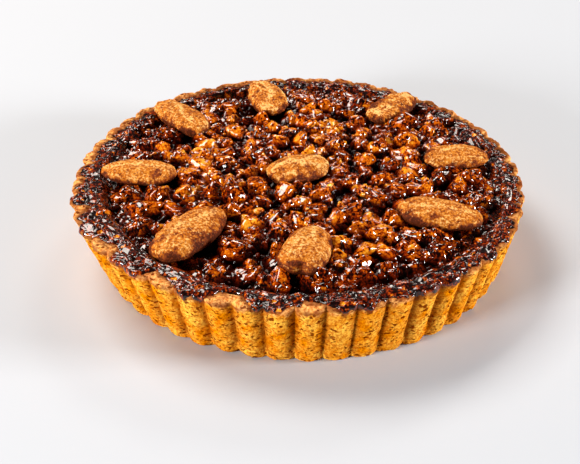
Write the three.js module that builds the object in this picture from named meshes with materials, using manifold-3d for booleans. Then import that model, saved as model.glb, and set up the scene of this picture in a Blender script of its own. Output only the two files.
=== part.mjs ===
// Pecan tart, 20 cm across: a fluted shortcrust case, a heap of chopped pecans set in dark
// caramel, and nine candied pecan halves on top. Millimetres, +Z up. The origin is the centre
// of the case's underside, and -Y is the front.

import * as THREE from 'three';
import { mergeVertices } from 'three/addons/utils/BufferGeometryUtils.js';
import Module from 'manifold-3d';

const wasm = await Module();
wasm.setup();

// ---- Driving dimensions -------------------------------------------------------------------

// Pastry case, as pressed into a loose-bottomed fluted tin
const RIM_RADIUS = 100; // to the crests of the flutes, at the rim
const BASE_RADIUS = 92; // to the crests of the flutes, at the base
const CASE_HEIGHT = 31; // mean height of the rim
const FLUTES = 50;
const FLUTE_DEPTH = 2.1; // from a crest to the sharp valley beside it
const FLUTE_START = THREE.MathUtils.degToRad(-141.64); // direction of the first valley
const EDGE_ROUND = 1.4; // chamfer that stands for the rounded top and bottom edges
const WALL = 7; // from the crests to the filling
const FLOOR = 6; // thickness of the pastry base
const LEAN = 1.1; // the rim sits this far towards the left of the base
const LEAN_ANGLE = THREE.MathUtils.degToRad(190);
const BULGE = 2.6; // the left of the front slumped outwards a little in the oven
const BULGE_ANGLE = THREE.MathUtils.degToRad(205);
const BULGE_SPREAD = THREE.MathUtils.degToRad(30);

// Filling
const GAP = 0.3; // clearance between neighbouring pieces
const HEAP_TOP = CASE_HEIGHT - 0.6; // bare caramel between the nuts, at the middle
const TROUGH_RADIUS = 85.5; // the caramel sinks between the heap and the rim
const TROUGH_DEPTH = 3.2;
const HEAP_SHOULDER = 0.8; // of the trough's radius, where the heap starts to fall
const LIP_THICKNESS = 1.3; // caramel that boiled over onto the rim
const LIP_BEVEL = 0.6;
const NUTS = 168; // chopped pecans that show
const NUT_LENGTH = [9, 14];
const NUT_SLENDER = [0.66, 0.9]; // width for each millimetre of length
const NUT_HEIGHT = [6.4, 7.8];
const NUT_CORNER = [0.86, 1.16]; // how far each corner is drawn in or out
const NUT_TILT = 0.6; // radians, from one side to the other
const NUT_SCATTER = 2.4; // how far a nut strays from the even spread
const NUT_SINK = [0, 1.4]; // height of a nut's middle over the bare caramel
const NUT_FIELD = 81; // radius that the chopped pecans fill
const GOLDEN_ANGLE = Math.PI * (3 - Math.sqrt(5));

// Outer edge of the caramel on the rim: radius at the front, radius at the back, and the
// stretches where bare pastry reaches further in (direction, half width in degrees, radius).
const LIP_FRONT = 100;
const LIP_BACK = 97;
const BARE_PATCHES = [
  [-162, 4, 95],
  [-144, 6, 96.5],
  [-124.5, 4.5, 94],
  [-106.5, 5, 91],
  [-87.5, 3.5, 93],
  [-20, 9, 95],
  [172, 5, 95],
];

// Candied pecan halves: x, y, length, width, direction of the long axis and sideways tilt (deg)
const PECAN_HEIGHT = 0.62; // of the width, before the underside is flattened
const PECAN_UNDERSIDE = 0.78;
const PECAN_GROOVE = 0.8; // height left along the middle of the back
const PECAN_FULLNESS = 0.45; // 0.5 is an ellipse, less is blunter
const PECAN_TAPER = 0.08; // one end is slimmer
const PECAN_Z = 34.2; // height of a nut's middle
const PECANS = [
  [-58.7, 48.4, 37, 18.8, 130, 3],
  [-18.4, 70.6, 33, 18.4, 110, -4],
  [43.4, 61.7, 33.2, 17.2, 50, 4],
  [-72.7, -3.8, 34.4, 16.8, 177, -2],
  [-2, 0.9, 29, 19.2, 24, 3],
  [70, 14.4, 29.8, 17, 4, 2],
  [-46.1, -51.6, 42.2, 21.8, 58, -3],
  [2.1, -63, 29.6, 21.2, 75, 2],
  [58.4, -34.2, 37.6, 20, -14, -2],
];

// Mesh steps
const STEPS_PER_FLUTE = 5;
const CUP_STEPS = 100;
const PECAN_STEPS = [12, 8];

// ---- Helpers ------------------------------------------------------------------------------

// Repeatable draw between 0 and 1 for item k and property p.
function draw(k, p) {
  const s = Math.sin(k * 12.9898 + p * 78.233) * 43758.5453;
  return s - Math.floor(s);
}

// The value a share of the way through a range.
function within([low, high], share) {
  return THREE.MathUtils.lerp(low, high, share);
}

function smooth(t) {
  const x = THREE.MathUtils.clamp(t, 0, 1);
  return x * x * (3 - 2 * x);
}

// Smallest turn from b to a, in radians.
function turnBetween(a, b) {
  return Math.atan2(Math.sin(a - b), Math.cos(a - b));
}

// Closed surface from a first pole, rings of equally many points, and a last pole. Rings turn
// counterclockwise about the direction from the first pole to the last.
function ringSurface(firstPole, rings, lastPole) {
  const columns = rings[0].length;
  const points = [firstPole, ...rings.flat(), lastPole];
  const last = points.length - 1;
  const index = [];
  const at = (ring, column) => 1 + ring * columns + (column % columns);
  for (let j = 0; j < columns; j++) {
    index.push(0, at(0, j + 1), at(0, j));
    for (let i = 0; i + 1 < rings.length; i++) {
      index.push(at(i, j), at(i, j + 1), at(i + 1, j + 1));
      index.push(at(i, j), at(i + 1, j + 1), at(i + 1, j));
    }
    index.push(last, at(rings.length - 1, j), at(rings.length - 1, j + 1));
  }
  const geometry = new THREE.BufferGeometry().setFromPoints(points);
  geometry.setIndex(index);
  return geometry;
}

// One ring about the Z axis: radius and height are functions of the direction.
function ring(angles, radius, height) {
  return angles.map((a) => new THREE.Vector3(
    radius(a) * Math.cos(a), radius(a) * Math.sin(a), height(a)));
}

function anglesFrom(start, count) {
  return Array.from({ length: count }, (_, i) => start + (i * 2 * Math.PI) / count);
}

function toSolid(geometry) {
  const bare = geometry.clone();
  bare.deleteAttribute('normal');
  bare.deleteAttribute('uv');
  const merged = mergeVertices(bare, 1e-4);
  return new wasm.Manifold(new wasm.Mesh({
    numProp: 3,
    vertProperties: new Float32Array(merged.attributes.position.array),
    triVerts: new Uint32Array(merged.index.array),
  }));
}

function toGeometry(solid) {
  const mesh = solid.getMesh();
  const geometry = new THREE.BufferGeometry();
  geometry.setAttribute('position', new THREE.BufferAttribute(mesh.vertProperties, 3));
  geometry.setIndex(new THREE.BufferAttribute(mesh.triVerts, 1));
  geometry.computeVertexNormals();
  return geometry;
}

// Balanced union of a list of solids.
function union(solids) {
  if (solids.length === 1) return solids[0];
  const half = Math.ceil(solids.length / 2);
  return union(solids.slice(0, half)).add(union(solids.slice(half)));
}

// The main body alone: loose scraps are dropped and sealed hollows filled.
function mainBody(solid) {
  return solid.decompose().reduce((a, b) => (b.volume() > a.volume() ? b : a));
}

// ---- Pastry case --------------------------------------------------------------------------

// Distance from the axis to the fluted outside. Each flute bulges out between two sharp valleys.
function caseRadius(angle, z) {
  const t = ((angle - FLUTE_START) / (2 * Math.PI)) * FLUTES;
  const acrossFlute = t - Math.floor(t) - 0.5;
  const flute = FLUTE_DEPTH * (1 - Math.cos(Math.PI * acrossFlute));
  const draft = THREE.MathUtils.lerp(BASE_RADIUS, RIM_RADIUS, z / CASE_HEIGHT);
  const bulge = BULGE * Math.exp(-((turnBetween(angle, BULGE_ANGLE) / BULGE_SPREAD) ** 2));
  const lean = LEAN * Math.cos(angle - LEAN_ANGLE);
  return draft - flute + (bulge + lean) * (z / CASE_HEIGHT);
}

// Height of the rim: it stands higher at the front and waves a little.
function rimHeight(angle) {
  const slope = 0.5 - 0.7 * Math.sin(angle);
  return CASE_HEIGHT + slope + 0.3 * Math.sin(5 * angle + 1) + 0.2 * Math.sin(11 * angle);
}

function fluteBody() {
  const angles = anglesFrom(FLUTE_START, FLUTES * STEPS_PER_FLUTE);
  const shoulder = (a) => rimHeight(a) - EDGE_ROUND;
  const topRadius = (a) => caseRadius(a, CASE_HEIGHT) - EDGE_ROUND;
  // The fan of triangles underneath meets off centre, which leaves plain face at the middle.
  return ringSurface(
    new THREE.Vector3(BASE_RADIUS / 3, 0, 0),
    [
      ring(angles, (a) => caseRadius(a, 0) - EDGE_ROUND, () => 0),
      ring(angles, (a) => caseRadius(a, EDGE_ROUND), () => EDGE_ROUND),
      ring(angles, (a) => caseRadius(a, shoulder(a)), shoulder),
      ring(angles, topRadius, rimHeight),
      ring(angles, () => RIM_RADIUS - 2 * WALL, rimHeight),
    ],
    new THREE.Vector3(0, 0, CASE_HEIGHT));
}

const CUP_FLOOR_RADIUS = BASE_RADIUS - WALL;
const CUP_TOP = CASE_HEIGHT + 5; // the cutter stands clear of the rim

// Distance from the axis to the inside of the case.
function cupRadius(z) {
  return THREE.MathUtils.lerp(CUP_FLOOR_RADIUS, RIM_RADIUS - WALL, z / CASE_HEIGHT);
}

// The room that the filling takes out of the case.
function cupCutter() {
  const profile = [
    new THREE.Vector2(0, FLOOR),
    new THREE.Vector2(cupRadius(FLOOR) - EDGE_ROUND, FLOOR),
    new THREE.Vector2(cupRadius(FLOOR + EDGE_ROUND), FLOOR + EDGE_ROUND),
    new THREE.Vector2(cupRadius(CUP_TOP), CUP_TOP),
    new THREE.Vector2(0, CUP_TOP),
  ];
  return new THREE.LatheGeometry(profile, CUP_STEPS).rotateX(Math.PI / 2);
}

function crustGeometry() {
  return toGeometry(toSolid(fluteBody()).subtract(toSolid(cupCutter())));
}

// ---- Candied pecan halves -----------------------------------------------------------------

// Half a pecan, long axis on X: an oval body, flatter below, slimmer at one end, with a groove
// along its back. "grow" makes it larger all round.
function pecanGeometry(length, width, grow) {
  const [columns, rows] = PECAN_STEPS;
  const halfLength = length / 2 + grow;
  const halfWidth = width / 2 + grow;
  const halfHeight = (PECAN_HEIGHT * width) / 2 + grow;
  const rings = [];
  for (let i = 1; i < rows; i++) {
    const along = -Math.cos((Math.PI * i) / rows);
    const fullness = (1 - along * along) ** PECAN_FULLNESS * (1 - PECAN_TAPER * along);
    rings.push(anglesFrom(Math.PI / 2, columns).map((a, j) => {
      const back = j === 0 ? PECAN_GROOVE : 1;
      const up = Math.sin(a) * (Math.sin(a) > 0 ? back : PECAN_UNDERSIDE);
      return new THREE.Vector3(
        halfLength * along, halfWidth * fullness * Math.cos(a), halfHeight * fullness * up);
    }));
  }
  return ringSurface(
    new THREE.Vector3(-halfLength, 0, 0), rings, new THREE.Vector3(halfLength, 0, 0));
}

function placePecan(mesh, [x, y, , , direction, tilt]) {
  mesh.position.set(x, y, PECAN_Z);
  mesh.rotation.set(
    THREE.MathUtils.degToRad(tilt), 0, THREE.MathUtils.degToRad(direction), 'ZYX');
  mesh.updateMatrixWorld();
}

// ---- Filling ------------------------------------------------------------------------------

// Outer edge of the caramel on the rim, for a direction.
function lipRadius(angle) {
  const towardsBack = smooth(0.5 + 0.9 * Math.sin(angle));
  let reach = THREE.MathUtils.lerp(LIP_FRONT, LIP_BACK, towardsBack);
  for (const [direction, halfWidth, radius] of BARE_PATCHES) {
    const off = turnBetween(angle, THREE.MathUtils.degToRad(direction));
    const inside = smooth(1.5 - Math.abs(off) / THREE.MathUtils.degToRad(halfWidth));
    reach = THREE.MathUtils.lerp(reach, Math.min(reach, radius), inside);
  }
  return Math.min(reach, caseRadius(angle, CASE_HEIGHT) - EDGE_ROUND / 2);
}

// Height of the bare caramel under the nuts, by distance from the axis.
function heapHeight(radius) {
  const down = smooth((radius / TROUGH_RADIUS - HEAP_SHOULDER) / (1 - HEAP_SHOULDER));
  return HEAP_TOP - TROUGH_DEPTH * down;
}

function caramelCore() {
  const angles = anglesFrom(FLUTE_START, CUP_STEPS);
  const insideCup = (z) => () => cupRadius(z) - GAP;
  const floor = FLOOR + GAP;
  const underLip = (a) => rimHeight(a) + GAP;
  const overLip = (a) => underLip(a) + LIP_THICKNESS;
  const brink = cupRadius(CASE_HEIGHT) - GAP;
  const lip = (a) => Math.max(lipRadius(a) - LIP_BEVEL, brink + LIP_BEVEL);
  const heapRing = (r) => ring(angles, () => r, () => heapHeight(r));
  return ringSurface(
    new THREE.Vector3(0, 0, floor),
    [
      ring(angles, () => cupRadius(floor) - EDGE_ROUND - GAP, () => floor),
      ring(angles, insideCup(floor + EDGE_ROUND), () => floor + EDGE_ROUND),
      ring(angles, () => brink, underLip),
      ring(angles, lip, underLip),
      ring(angles, (a) => lip(a) - LIP_BEVEL, overLip),
      ring(angles, () => brink - 2 * LIP_BEVEL, overLip),
      heapRing(TROUGH_RADIUS),
      heapRing(0.95 * TROUGH_RADIUS),
      heapRing(HEAP_SHOULDER * TROUGH_RADIUS),
      heapRing(0.4 * TROUGH_RADIUS),
    ],
    new THREE.Vector3(0, 0, HEAP_TOP));
}

// Place of chopped nut k: a sunflower spread, each nut strayed a little.
function nutPlace(k) {
  const radius = NUT_FIELD * Math.sqrt((k + 0.5) / NUTS) + NUT_SCATTER * (draw(k, 1) - 0.5);
  const strayed = (NUT_SCATTER * (draw(k, 2) - 0.5)) / Math.max(radius, NUT_LENGTH[0]);
  const angle = k * GOLDEN_ANGLE + strayed;
  return { x: radius * Math.cos(angle), y: radius * Math.sin(angle), radius };
}

function underPecan(x, y) {
  return PECANS.some(([px, py, length, width, direction]) => {
    const turn = THREE.MathUtils.degToRad(direction);
    const along = (x - px) * Math.cos(turn) + (y - py) * Math.sin(turn);
    const across = (y - py) * Math.cos(turn) - (x - px) * Math.sin(turn);
    return (along / (length / 2)) ** 2 + (across / (width / 2)) ** 2 < 1;
  });
}

// A chopped nut: a twenty-sided lump, its corners drawn in and out, longer than it is wide.
function choppedNut(k) {
  const { x, y, radius } = nutPlace(k);
  const length = within(NUT_LENGTH, draw(k, 3));
  const width = length * within(NUT_SLENDER, draw(k, 4));
  const height = within(NUT_HEIGHT, draw(k, 5));
  const lump = mergeVertices(
    new THREE.IcosahedronGeometry(1, 0).deleteAttribute('normal').deleteAttribute('uv'));
  const corners = lump.attributes.position;
  for (let i = 0; i < corners.count; i++) {
    const reach = within(NUT_CORNER, draw(k + i / corners.count, 6));
    corners.setXYZ(i, corners.getX(i) * reach, corners.getY(i) * reach, corners.getZ(i) * reach);
  }
  lump.scale(length / 2, width / 2, height / 2);
  lump.rotateX(NUT_TILT * (draw(k, 7) - 0.5));
  lump.rotateY(NUT_TILT * (draw(k, 8) - 0.5));
  lump.rotateZ(2 * Math.PI * draw(k, 9));
  lump.translate(x, y, heapHeight(radius) + within(NUT_SINK, draw(k, 10)));
  return lump;
}

function fillingGeometry() {
  const nuts = [];
  for (let k = 0; k < NUTS; k++) {
    const { x, y } = nutPlace(k);
    if (!underPecan(x, y)) nuts.push(toSolid(choppedNut(k)));
  }
  let heap = toSolid(caramelCore()).add(union(nuts));
  for (const pecan of PECANS) {
    const [, , length, width] = pecan;
    const seat = new THREE.Mesh(pecanGeometry(length, width, GAP));
    placePecan(seat, pecan);
    heap = heap.subtract(toSolid(seat.geometry.clone().applyMatrix4(seat.matrixWorld)));
  }
  return toGeometry(mainBody(heap));
}

// ---- The tart -----------------------------------------------------------------------------

const SHORTCRUST = { color: 0xc98a3c, roughness: 0.85, metalness: 0 };
const CARAMEL = { color: 0x5a2410, roughness: 0.25, metalness: 0 };
const CANDIED_PECAN = { color: 0xb06a30, roughness: 0.8, metalness: 0 };

const tart = new THREE.Group();

function addPiece(name, geometry, finish) {
  const mesh = new THREE.Mesh(geometry, new THREE.MeshStandardMaterial(finish));
  mesh.name = name;
  tart.add(mesh);
  return mesh;
}

addPiece('crust', crustGeometry(), SHORTCRUST);
addPiece('filling', fillingGeometry(), CARAMEL);
PECANS.forEach((pecan, i) => {
  const [, , length, width] = pecan;
  placePecan(addPiece(`pecan_${i + 1}`, pecanGeometry(length, width, 0), CANDIED_PECAN), pecan);
});

export default tart;
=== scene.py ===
"""Pecan tart: a fluted shortcrust case, chopped pecans in dark caramel and nine candied pecans.

The case, the caramel, the chopped nuts and the candied pecans are surfaces worked out with numpy
around the solids of the frame. Lengths in the functions are millimetres, meshes are in metres.
"""

from collections import namedtuple
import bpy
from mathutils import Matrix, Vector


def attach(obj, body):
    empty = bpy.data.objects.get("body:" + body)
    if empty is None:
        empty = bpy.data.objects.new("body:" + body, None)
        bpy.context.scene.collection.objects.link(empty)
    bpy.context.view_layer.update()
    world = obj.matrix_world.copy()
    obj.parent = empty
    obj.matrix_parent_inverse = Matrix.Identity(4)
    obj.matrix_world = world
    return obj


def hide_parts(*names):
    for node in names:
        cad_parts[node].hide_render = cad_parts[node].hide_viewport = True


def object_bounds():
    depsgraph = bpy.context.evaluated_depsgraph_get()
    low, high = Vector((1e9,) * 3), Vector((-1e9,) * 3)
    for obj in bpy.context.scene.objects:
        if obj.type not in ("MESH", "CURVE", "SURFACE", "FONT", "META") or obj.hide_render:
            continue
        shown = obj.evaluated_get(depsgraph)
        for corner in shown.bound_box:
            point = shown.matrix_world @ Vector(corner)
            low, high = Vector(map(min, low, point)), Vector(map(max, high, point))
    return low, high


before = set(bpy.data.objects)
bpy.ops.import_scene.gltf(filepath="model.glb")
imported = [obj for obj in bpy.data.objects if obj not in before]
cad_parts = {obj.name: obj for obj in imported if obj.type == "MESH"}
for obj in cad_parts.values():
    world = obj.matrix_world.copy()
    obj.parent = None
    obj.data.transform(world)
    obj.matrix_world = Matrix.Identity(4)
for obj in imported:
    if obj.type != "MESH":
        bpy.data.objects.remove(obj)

from types import SimpleNamespace

import bpy
import numpy as np
from mathutils import Matrix, Vector

CAD_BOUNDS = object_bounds()

bl_info = {
    "name": "Pecan tart",
    "version": (1, 0, 0),
    "blender": (4, 5, 0),
    "location": "3D View > Sidebar > Tart",
    "description": "Makes a pecan tart in a fluted shortcrust case, piece by piece",
    "category": "Add Mesh",
}

MM = 0.001

# ---- Layout (millimetres, and directions and half widths in degrees) ----

FLUTE_START = np.radians(-141.64)  # direction of the first valley
FLUTE_COLUMNS, FOOT_RINGS, WALL_RINGS, EDGE_RINGS, RIM_RINGS = 22, 5, 50, 7, 16
LEAN, LEAN_ANGLE = 1.1, np.radians(190)  # the rim sits this far to the left of the base
BULGE, BULGE_ANGLE, BULGE_SPREAD = 2.6, np.radians(205), np.radians(30)  # where it slumped
EDGE_ROUND = 1.4  # radius of the rounded edges
GAP = 0.3  # between the case and the filling
BOX_MARGIN = 0.02  # how far every piece stays inside the box of the solids
# Heights, out of sight under the filling, of rings of the cup, the heap's side and the lip's foot.
CUP_RINGS, HEAP_SIDE, LIP_FOOT = (24, 15), 18, 20

TROUGH_RADIUS, TROUGH_DEPTH = 85.5, 3.2
HEAP_SHOULDER = 0.8  # share of the trough's radius where the heap starts to fall
HEAP_BELOW_RIM = 0.6
HEAP_COLUMNS, HEAP_RINGS = 720, 135
LIP_THICKNESS = 1.3
LIP_COLUMNS, SLOPE_RINGS, LIP_RINGS = 1600, 24, 36
LIP_SHORT = (0.6, 2.4)  # how far the caramel stays inside the rim's edge, at the front and back
LEFT_SHORT, LEFT_ANGLE, LEFT_SPREAD = 1.8, np.radians(150), np.radians(25)  # further on the left
BARE_PATCHES = [  # direction, half width, how far the caramel stays inside the edge
    (-162, 2.8, 5), (-144, 4.4, 6), (-124.5, 3.6, 5.5), (-106.5, 4.64, 8), (-87.5, 2.8, 6),
    (-20, 4, 2.6), (172, 3.2, 5), (-176, 2.4, 4),
]
SPILLS = [  # direction, half width, how far the caramel runs over the edge
    (-168, 3, 1.6), (-152.5, 3, 1.0), (-133, 4.5, 2.0), (-115, 4, 2.2), (-96.5, 4, 1.8),
    (-77, 6, 1.8), (-57, 9, 2.0), (-38, 5, 1.0),
]

SEED = 11
GOLDEN_ANGLE = np.pi * (3 - np.sqrt(5))
NUTS, NUT_FIELD = 168, 81  # how many large nuts, and how far from the axis they reach
NUT_LENGTH, NUT_SLENDER, NUT_HEIGHT = (9, 14), (0.66, 0.9), (6.4, 7.8)
NUT_TILT, NUT_SCATTER, NUT_SINK = 0.6, 2.4, (0, 1.4)
NUTS_SUNK = 0.8  # how far the pieces that stand for large nuts sink under them
WHOLE_FROM = 0.75  # large nuts with a draw over this also have one chopped piece of their own
BROWN_FROM, BROWN_OVER = 64, 14  # distance from the axis where nuts start to brown, and on
EDGE_TONE = 0.5  # nuts by the rim keep this share of their tone
KNIFE_STROKES = 4
CLOT_PIECES, CLOT_LENGTH = 2, (6, 11)
BARE_FROM = 88  # distance from the axis past which bare stretches of rim hold no loose pieces
BITS_RISE = 9  # loose pieces lie less than this over bare caramel
LOOSE_PIECES = [  # name, property that holds the count, lengths, distances from the axis, tones
    ("edge_pecan_pieces", "edge", (4, 8), (81, 91), (0.0, 0.5)),
    ("small_pecan_pieces", "small", (2.6, 5), (0, 86), (0.1, 0.75)),
    ("pecan_bits", "bits", (1.4, 3), (0, 98), (0.0, 0.8)),
    ("pecan_crumbs", "crumbs", (0.8, 1.6), (0, 99), (0.1, 1.0)),
]

MAP_STEP, MAP_HALF = 0.25, 103  # step and half side of the square maps of the filling
LEVEL_BLUR, FILM_BLUR = 60, 30  # rounds of blurring
CROWN = (2.6, 0.4)  # how much higher the heap is inside the rim, at the back and in front
FRONT_ANGLE, FRONT_SPREAD = np.radians(-88), np.radians(45)
# Chips on the maps: count, distances from the axis, lengths, depths of their tops under the level
# and tones, where 0 and less is as dark as thick caramel and 1 is honey.
HEAP_CHIPS = [
    (560, (0, 84), (6, 11), (-0.3, 2.4), (0.12, 0.62)),
    (1000, (0, 86), (2.6, 5.5), (-0.6, 2.0), (0.1, 0.75)),
]
LIP_CHIPS = [
    (330, (82, 102), (3.5, 9), (-0.2, 1.3), (-0.4, -0.04)),
    (260, (82, 102), (0.9, 2.0), (-0.4, 0.3), (0.2, 0.7)),
]
CHIP_SIDES = 5
CHIP_TILT = 0.28  # spread of the slopes on top
CHIP_SHARP = 8.0  # how sharp the ridges between the planes are

PECAN_ROWS, PECAN_COLUMNS = 110, 140
PECAN_FULLNESS, PECAN_TAPER, PECAN_UNDERSIDE = 0.45, 0.08, 0.78
PECAN_THICKNESS = 0.31  # height over the middle, as a share of the width
PECAN_Z = 34.2  # height of the middles
Pecan = namedtuple("Pecan", "x y length width direction tilt")
PECANS = [Pecan(*numbers) for numbers in (
    (-58.7, 48.4, 37, 18.8, 130, 3),
    (-18.4, 70.6, 33, 18.4, 110, -4),
    (43.4, 61.7, 33.2, 17.2, 50, 4),
    (-72.7, -3.8, 34.4, 16.8, 177, -2),
    (-2, 0.9, 29, 19.2, 24, 3),
    (70, 14.4, 29.8, 17, 4, 2),
    (-46.1, -51.6, 42.2, 21.8, 58, -3),
    (2.1, -63, 29.6, 21.2, 75, 2),
    (58.4, -34.2, 37.6, 20, -14, -2),
)]
# For each pecan: how much blunter its ends are, how far they are browned, how deep its wrinkles.
BLUNT = (0.06, 0.06, 0.05, 0.02, 0.05, 0.04, 0.07, 0.18, 0.03)
ROASTED = (-0.1, -0.1, 0.1, 0, 0, 0.1, 0.35, 0, 0.02)
CRUMPLED = (1.0, 1.5, 1.4, 0.5, 1.3, 0.7, 0.6, 0.8, 0.5)
NOTCHED = 7  # index of the pecan with a notch in its front end


# ---- Numbers ----

def linear(hex_colour):
    """Scene-linear RGB of an sRGB hex colour."""
    srgb = np.array([int(hex_colour[i:i + 2], 16) for i in (1, 3, 5)]) / 255
    rgb = np.where(srgb <= 0.04045, srgb / 12.92, ((srgb + 0.055) / 1.055) ** 2.4)
    return tuple(float(c) for c in rgb)


def draw(k, p):
    """Repeatable number from 0 to 1 for item k and property p: the tail of a large sine."""
    s = np.sin(k * 12.9898 + p * 78.233) * 43758.5453
    return s - np.floor(s)


def within(ends, share):
    """The value a share of the way between two ends."""
    return ends[0] + (ends[1] - ends[0]) * share


def smooth(t):
    """Smooth step: 3x² - 2x³, with x kept from 0 to 1."""
    x = np.clip(t, 0, 1)
    return x * x * (3 - 2 * x)


def turn_between(a, b):
    """Smallest turn from b to a."""
    return np.arctan2(np.sin(a - b), np.cos(a - b))


def unit(vectors):
    """The vectors at length 1."""
    return vectors / np.maximum(np.linalg.norm(vectors, axis=-1, keepdims=True), 1e-9)


def lattice(cells, seed):
    """Repeatable number from -1 to 1 for each whole-numbered point: its three numbers are
    multiplied, mixed and shifted."""
    x, y, z = (cells[..., i].astype(np.uint32) for i in range(3))
    h = x * np.uint32(0x8DA6B343) ^ y * np.uint32(0xD8163841) ^ z * np.uint32(0xCB1AB31F)
    h = h ^ np.uint32((seed * 0x9E3779B1) & 0xFFFFFFFF)
    for shift, factor in ((16, 0x7FEB352D), (15, 0x846CA68B)):
        h = (h ^ (h >> np.uint32(shift))) * np.uint32(factor)
    return (h ^ (h >> np.uint32(16))) / 2.0 ** 31 - 1


def noise(points, size, seed):
    """Smooth noise from -1 to 1: the numbers at the corners of a cell of the given size,
    blended by 6x⁵ - 15x⁴ + 10x³ along each side."""
    place = points / size
    cell = np.floor(place).astype(np.int64)
    part = place - cell
    blend = part ** 3 * (part * (6 * part - 15) + 10)
    total = np.zeros(points.shape[:-1])
    for corner in np.ndindex(2, 2, 2):
        weight = np.prod(np.where(np.array(corner) == 1, blend, 1 - blend), axis=-1)
        total += weight * lattice(cell + np.array(corner), seed)
    return total


def bubbles(points, size, seed):
    """Domes from 0 to 1: one less the squared distance to the nearest of the points that are
    strewn one to a cell."""
    place = points / size
    cell = np.floor(place).astype(np.int64)
    part = place - cell
    nearest = np.ones(points.shape[:-1])
    for step in np.ndindex(3, 3, 3):
        corner = np.array(step) - 1
        strewn = np.stack([lattice(cell + corner, seed + i) for i in range(3)], axis=-1)
        away = corner + 0.5 + 0.45 * strewn - part
        nearest = np.minimum(nearest, (away ** 2).sum(-1))
    return 1 - nearest


def strands(points, size, seed):
    """Thin round crests from 0 to 1 where the noise crosses zero: 1 - (4n)²."""
    return np.clip(1 - (4 * noise(points, size, seed)) ** 2, 0, 1)


def layered(points, *layers):
    """Noises of several sizes on top of each other, each given by its share, size and seed."""
    return sum(share * noise(points, size, seed) for share, size, seed in layers)


def soft_maximum(a, b, sharpness):
    """The greater of two heights, the corner between them rounded: log(e^(ka) + e^(kb)) / k."""
    return np.logaddexp(sharpness * a, sharpness * b) / sharpness


def along_across(dx, dy, turn):
    """How far a step goes along a direction and across it."""
    return dx * np.cos(turn) + dy * np.sin(turn), dy * np.cos(turn) - dx * np.sin(turn)


def in_mm(group):
    """The values of a property group as plain numbers, with its lengths in millimetres."""
    values = {}
    for name, prop in group.bl_rna.properties.items():
        if name not in ("rna_type", "name"):
            value = getattr(group, name)
            values[name] = value / MM if getattr(prop, "unit", "NONE") == "LENGTH" else value
    return SimpleNamespace(**values)


# ---- Meshes ----

def ring_faces(rows, columns):
    """Quads between neighbouring rings whose points are numbered ring by ring."""
    i, j = np.arange(rows - 1)[:, None], np.arange(columns)[None, :]
    a, b = i * columns + j, i * columns + (j + 1) % columns
    return np.stack([a, b, b + columns, a + columns], axis=-1).reshape(-1, 4)


def fan_faces(pole, first, columns, outwards):
    """Triangles from a pole to the ring that starts at the point numbered first."""
    j = np.arange(columns)
    here, there = first + j, first + (j + 1) % columns
    return np.stack([np.full(columns, pole), *((here, there) if outwards else (there, here))], -1)


def pole_surface(first_pole, rings, last_pole, **marks):
    """Points, faces and marks of a surface from a first pole over rings of points to a last pole.
    The rings turn counterclockwise about the way from the first pole to the last. Marks are given
    for the last rings, or all of them, and are 0 elsewhere."""
    rows, columns = rings.shape[:2]
    points = np.concatenate([rings.reshape(-1, 3), [first_pole, last_pole]])
    count = rows * columns
    marks = {key: np.pad(mark.ravel(), (count - mark.size, 2)) for key, mark in marks.items()}
    faces = [
        ring_faces(rows, columns),
        fan_faces(count, 0, columns, outwards=False),
        fan_faces(count + 1, count - columns, columns, outwards=True),
    ]
    return points, faces, marks


def round_axis(radius, angle, z):
    """Points at a distance from the axis, a direction and a height."""
    return np.stack(np.broadcast_arrays(radius * np.cos(angle), radius * np.sin(angle), z), -1)


def normals(grid):
    """Unit normals of a grid of rings: the step to the next column crossed with the step to
    the next ring."""
    across = np.roll(grid, -1, axis=1) - np.roll(grid, 1, axis=1)
    return unit(np.cross(across, np.gradient(grid, axis=0)))


def kept_inside(points):
    """The points moved, where they stand out of it, just inside the box of the solids."""
    low, high = (np.array(corner) / MM for corner in CAD_BOUNDS)
    return np.clip(points, low + BOX_MARGIN, high - BOX_MARGIN)


def add_piece(name, surface, material, nodes):
    """Makes a mesh piece of a surface and lets it stand for the nodes. A surface is its points in
    millimetres, arrays of its faces, and marks with one number for each point."""
    points, faces, marks = surface
    mesh = bpy.data.meshes.new(name)
    sizes = np.concatenate([np.full(len(part), part.shape[1]) for part in faces])
    corners = np.concatenate([part.ravel() for part in faces])
    mesh.vertices.add(len(points))
    mesh.vertices.foreach_set("co", (kept_inside(points) * MM).ravel())
    mesh.loops.add(len(corners))
    mesh.loops.foreach_set("vertex_index", corners)
    mesh.polygons.add(len(sizes))
    mesh.polygons.foreach_set("loop_start", np.cumsum(sizes) - sizes)
    mesh.update(calc_edges=True)
    mesh.shade_smooth()
    for key, numbers in marks.items():
        layer = mesh.attributes.new(key, "FLOAT", "POINT")
        layer.data.foreach_set("value", np.ascontiguousarray(numbers, dtype=np.float32).ravel())
    mesh.materials.append(material)
    piece = bpy.data.objects.new(name, mesh)
    bpy.context.scene.collection.objects.link(piece)
    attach(piece, "root")
    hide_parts(*nodes)


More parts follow.
